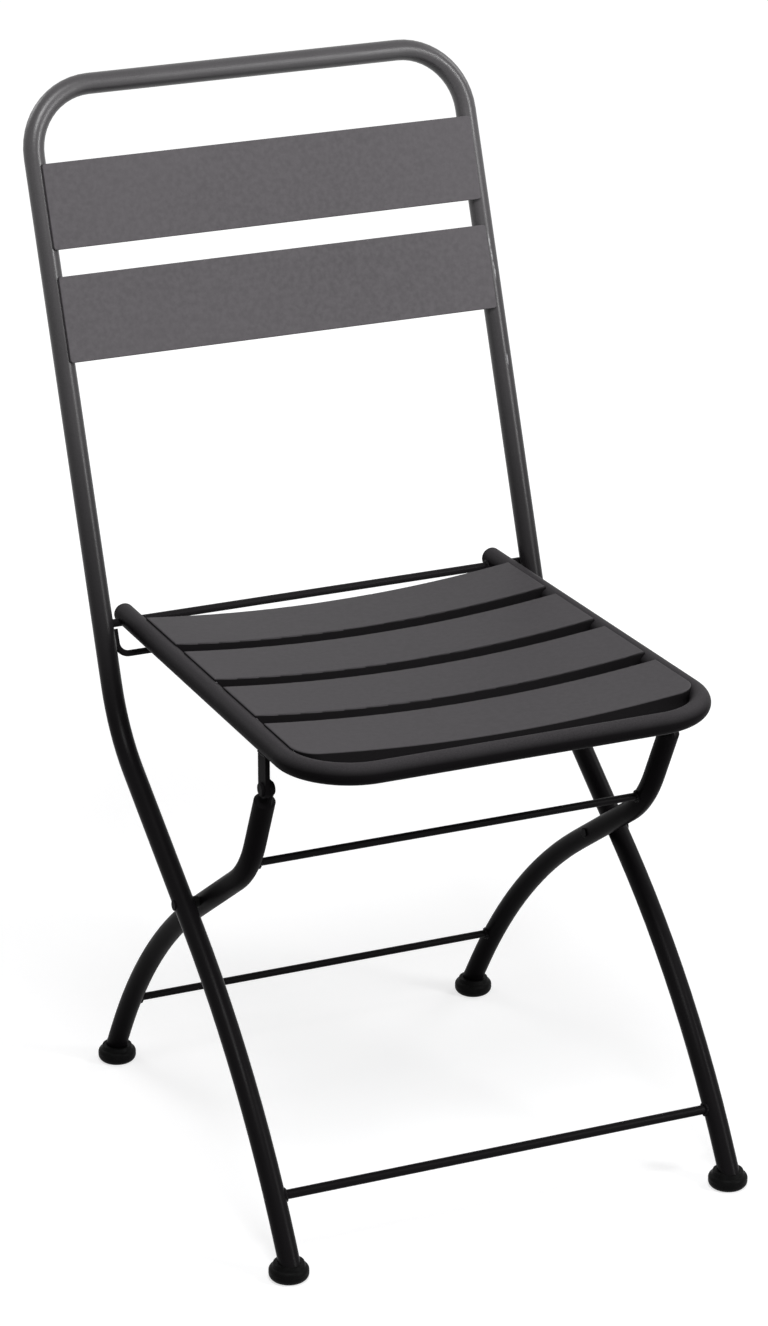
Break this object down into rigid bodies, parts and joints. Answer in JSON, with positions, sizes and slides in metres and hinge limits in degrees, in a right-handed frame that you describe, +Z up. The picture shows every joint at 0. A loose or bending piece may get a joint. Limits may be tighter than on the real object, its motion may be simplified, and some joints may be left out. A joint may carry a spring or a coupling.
{
  "type": "metal folding chair",
  "caption": "Folding chair of bent steel tube with crossing legs, dished seat slats and flat back slats, all powder coated in dark grey, on round plastic feet.",
  "frame": {"origin": "on the floor, in the middle of the open chair's overall width and depth", "axes": "+Z up, the sitter faces -Y, +X to the right of someone looking at the front of the chair"},
  "size_m": [0.4332, 0.5707, 0.8654],
  "materials": {
    "coated_tube": "satin",
    "coated_sheet": "satin",
    "rivet_steel": "satin",
    "cap_plastic": "satin",
    "spacer_plastic": "matte",
    "foot_plastic": "matte"
  },
  "bodies": {
    "back_frame": {"back_frame_tube": "coated_tube", "upper_back_slat": "coated_sheet", "lower_back_slat": "coated_sheet", "back_brace_bar": "coated_tube", "front_stretcher": "coated_tube", "slide_stop_left": "coated_tube", "slide_stop_right": "coated_tube", "front_foot_left": "foot_plastic", "front_foot_right": "foot_plastic", "cross_pivot_left": "rivet_steel", "cross_pivot_right": "rivet_steel", "cross_spacer_left": "spacer_plastic", "cross_spacer_right": "spacer_plastic"},
    "rear_legs": {"rear_leg_left": "coated_tube", "rear_leg_right": "coated_tube", "rear_upper_stretcher": "coated_tube", "rear_lower_stretcher": "coated_tube", "rear_foot_left": "foot_plastic", "rear_foot_right": "foot_plastic"},
    "seat": {"seat_frame_tube": "coated_tube", "front_seat_slat": "coated_sheet", "front_middle_seat_slat": "coated_sheet", "rear_middle_seat_slat": "coated_sheet", "rear_seat_slat": "coated_sheet", "rear_slide_rod": "coated_tube", "seat_lug_left": "coated_tube", "seat_lug_right": "coated_tube", "seat_pivot_left": "rivet_steel", "seat_pivot_right": "rivet_steel", "rail_end_cap_left": "cap_plastic", "rail_end_cap_right": "cap_plastic"}
  },
  "joints": [
    {"name": "leg_fold", "type": "hinge", "parent": "back_frame", "child": "rear_legs", "pos_m": [0, -0.05335, 0.244], "axis": [-1, 0, 0], "range_deg": [0, 75]},
    {"name": "seat_fold", "type": "hinge", "parent": "rear_legs", "child": "seat", "pos_m": [0, -0.18735, 0.393], "axis": [1, 0, 0], "range_deg": [0, 125]}
  ],
  "couplings": [
    {"joint": "seat_fold", "follows": "leg_fold", "ratio": 1.645}
  ]
}
